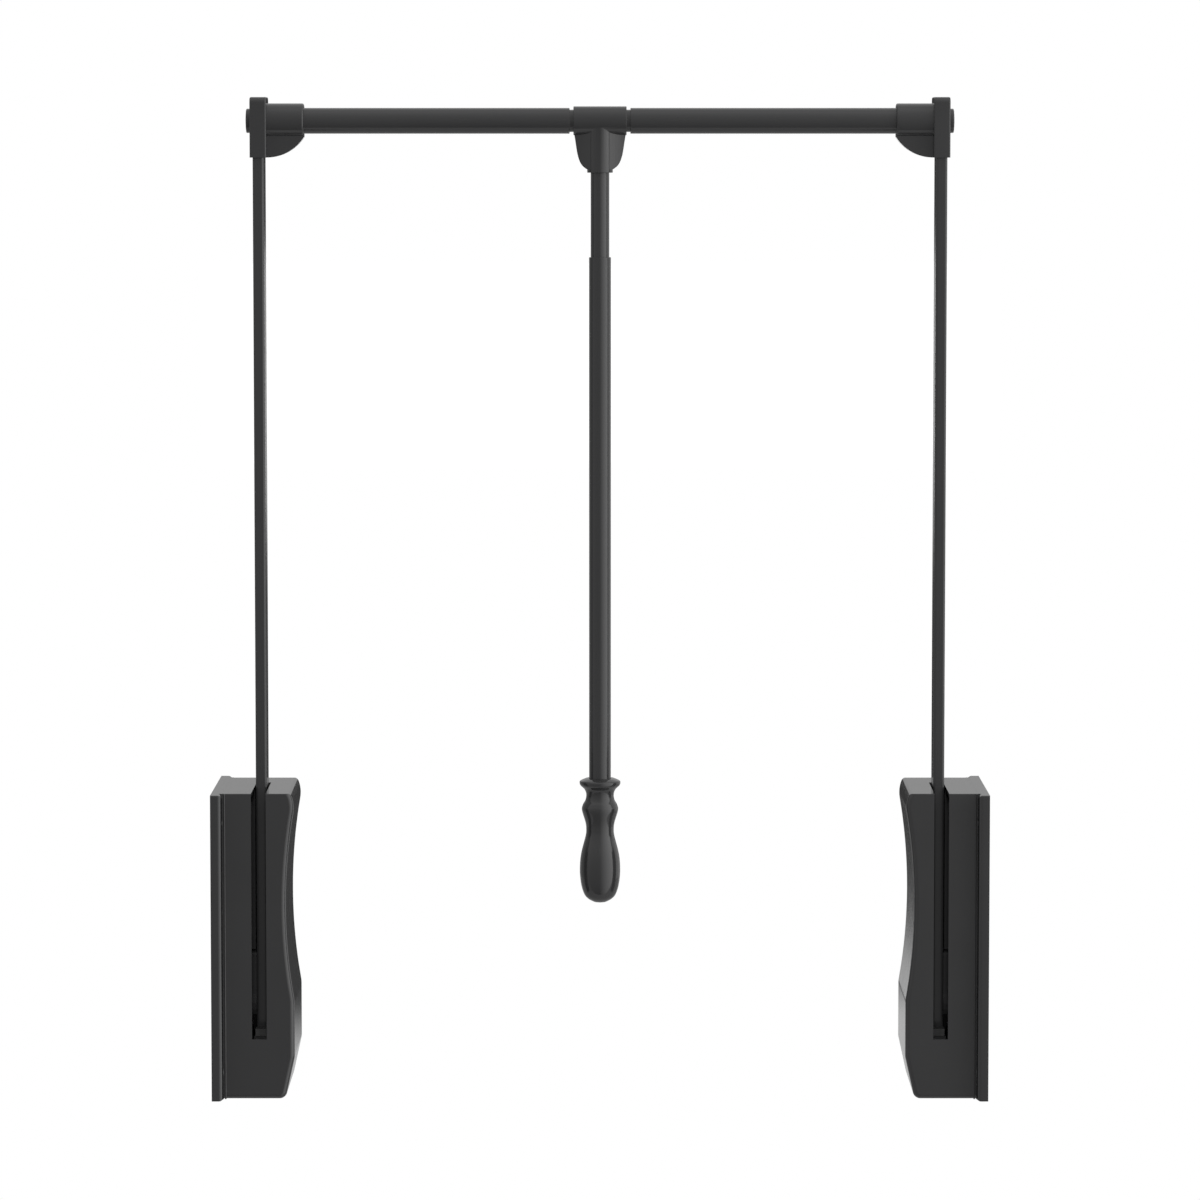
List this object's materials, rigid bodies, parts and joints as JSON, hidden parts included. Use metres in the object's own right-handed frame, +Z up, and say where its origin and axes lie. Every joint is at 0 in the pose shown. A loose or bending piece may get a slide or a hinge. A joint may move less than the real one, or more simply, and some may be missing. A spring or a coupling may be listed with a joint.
{
  "type": "pull-down closet rod",
  "caption": "Width-adjustable wardrobe rod on sprung arms that swing it out and down from side-wall housings, with a telescoping pull handle.",
  "frame": {"origin": "middle of the width and of the depth, at the level of the mounting plates' lower edges", "axes": "+X to the right as seen from the front, +Y to the back of the wardrobe, +Z up"},
  "size_m": [0.6604, 0.146, 0.8513],
  "materials": {
    "moulded_plastic": "finely textured charcoal moulding",
    "coated_steel": "satin charcoal powder coat",
    "plain_steel": "zinc plated",
    "spring_steel": "oiled wire",
    "nylon": "natural nylon",
    "rubber": "matt black rubber"
  },
  "bodies": {
    "left_housing": {"left_mounting_plate": "moulded_plastic", "left_housing_cover": "moulded_plastic", "left_pivot_shaft": "plain_steel", "left_outer_pivot_bush": "nylon", "left_inner_pivot_bush": "nylon", "left_spring_seat": "plain_steel", "left_spring_seat_screw": "plain_steel", "left_rest_buffer": "rubber", "left_lower_buffer": "rubber", "left_cover_screw_front_lower": "plain_steel", "left_cover_screw_front_upper": "plain_steel", "left_cover_screw_rear_lower": "plain_steel", "left_cover_screw_rear_upper": "plain_steel", "left_balance_spring": "spring_steel"},
    "left_strut": {"left_spring_strut": "plain_steel"},
    "left_arm": {"left_arm_tube": "coated_steel", "left_arm_foot": "plain_steel", "left_crank_lever": "coated_steel", "left_crank_rivet": "coated_steel", "left_crank_pin": "plain_steel", "left_rod_bracket": "moulded_plastic", "left_bracket_bolt": "plain_steel", "left_bolt_cover": "moulded_plastic", "left_rod_plug": "nylon", "left_rod_outer_tube": "coated_steel"},
    "right_housing": {"right_mounting_plate": "moulded_plastic", "right_housing_cover": "moulded_plastic", "right_pivot_shaft": "plain_steel", "right_outer_pivot_bush": "nylon", "right_inner_pivot_bush": "nylon", "right_spring_seat": "plain_steel", "right_spring_seat_screw": "plain_steel", "right_rest_buffer": "rubber", "right_lower_buffer": "rubber", "right_cover_screw_front_lower": "plain_steel", "right_cover_screw_front_upper": "plain_steel", "right_cover_screw_rear_lower": "plain_steel", "right_cover_screw_rear_upper": "plain_steel", "right_balance_spring": "spring_steel"},
    "right_strut": {"right_spring_strut": "plain_steel"},
    "right_arm": {"right_arm_tube": "coated_steel", "right_arm_foot": "plain_steel", "right_crank_lever": "coated_steel", "right_crank_rivet": "coated_steel", "right_crank_pin": "plain_steel", "right_rod_bracket": "moulded_plastic", "right_bracket_bolt": "plain_steel", "right_bolt_cover": "moulded_plastic", "right_rod_plug": "nylon", "right_rod_outer_tube": "coated_steel"},
    "rod_core": {"rod_inner_tube": "coated_steel", "tee_pin": "plain_steel"},
    "pull_handle": {"handle_tee": "moulded_plastic", "handle_upper_tube": "coated_steel", "handle_stop_plug": "nylon", "handle_friction_ring": "rubber"},
    "handle_slider": {"handle_lower_tube": "coated_steel", "handle_grip": "moulded_plastic"}
  },
  "joints": [
    {"name": "width_adjust", "type": "slide", "parent": "left_housing", "child": "right_housing", "axis": [1, 0, 0], "range_m": [0, 0.2286]},
    {"name": "lift_pivot_left", "type": "hinge", "parent": "left_housing", "child": "left_arm", "pos_m": [-0.2902, 0, 0.075], "axis": [1, 0, 0], "range_deg": [0, 95], "stiffness_Nm_per_rad": 12.8, "springref_deg": -20.05},
    {"name": "lift_pivot_right", "type": "hinge", "parent": "right_housing", "child": "right_arm", "pos_m": [0.2902, 0, 0.075], "axis": [1, 0, 0], "range_deg": [0, 95], "stiffness_Nm_per_rad": 12.8, "springref_deg": -20.05},
    {"name": "rod_extension", "type": "slide", "parent": "left_arm", "child": "rod_core", "axis": [1, 0, 0], "range_m": [0, 0.1143]},
    {"name": "handle_swing", "type": "hinge", "parent": "rod_core", "child": "pull_handle", "pos_m": [0, 0, 0.8312], "axis": [1, 0, 0], "range_deg": [-100, 100]},
    {"name": "handle_extend", "type": "slide", "parent": "pull_handle", "child": "handle_slider", "axis": [0, 0, -1], "range_m": [-0.065, 0.25]},
    {"name": "left_strut_slide", "type": "slide", "parent": "left_housing", "child": "left_strut", "axis": [0, 0, 1], "range_m": [0, 0.04425], "deforming": ["left_balance_spring"]},
    {"name": "right_strut_slide", "type": "slide", "parent": "right_housing", "child": "right_strut", "axis": [0, 0, 1], "range_m": [0, 0.04425], "deforming": ["right_balance_spring"]}
  ],
  "couplings": [
    {"joint": "rod_extension", "follows": "width_adjust", "ratio": 0.5},
    {"joint": "lift_pivot_right", "follows": "lift_pivot_left", "ratio": 1},
    {"joint": "left_strut_slide", "follows": "lift_pivot_left", "m_per_rad": 0.02668},
    {"joint": "right_strut_slide", "follows": "lift_pivot_left", "m_per_rad": 0.02668}
  ]
}
